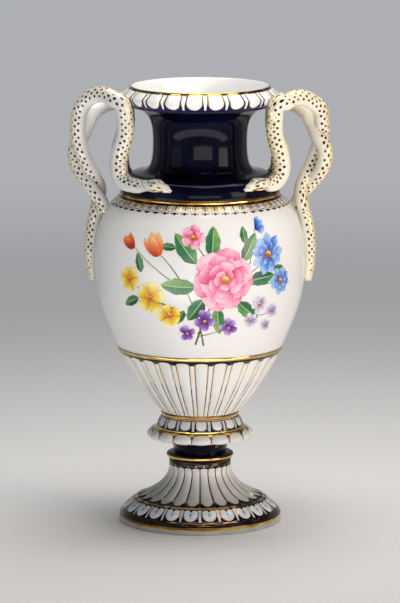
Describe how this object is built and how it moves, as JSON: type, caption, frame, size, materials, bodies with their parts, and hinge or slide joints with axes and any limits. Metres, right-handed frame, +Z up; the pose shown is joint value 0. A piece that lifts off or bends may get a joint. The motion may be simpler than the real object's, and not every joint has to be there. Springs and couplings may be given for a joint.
{
  "type": "twin-handled vase",
  "caption": "Tall porcelain vase on a ribbed foot, with a fluted calyx, round belly, waisted neck, tongued lip and two handles of intertwined snakes.",
  "frame": {"origin": "middle of the face that the foot stands on", "axes": "+Z up along the axis of turning, X through both handles, -Y is the front with the flower spray"},
  "size_m": [0.2343, 0.1866, 0.3912],
  "materials": {
    "porcelain": "white glaze with painted and gilt patterns",
    "cobalt": "deep cobalt glaze, glossy",
    "brass": "plain turned",
    "leather": "plain"
  },
  "bodies": {
    "root": {"fluted_foot": "porcelain", "stem_knop": "cobalt", "petal_collar": "porcelain", "fluted_calyx": "porcelain", "belly": "porcelain", "neck": "cobalt", "tongued_lip": "porcelain", "snake_left_front": "porcelain", "snake_left_back": "porcelain", "snake_right_front": "porcelain", "snake_right_back": "porcelain", "tie_rod": "brass", "inner_washer": "brass", "inner_seal": "leather", "foot_seal": "leather", "foot_washer": "brass", "fixing_nut": "brass"}
  },
  "joints": []
}
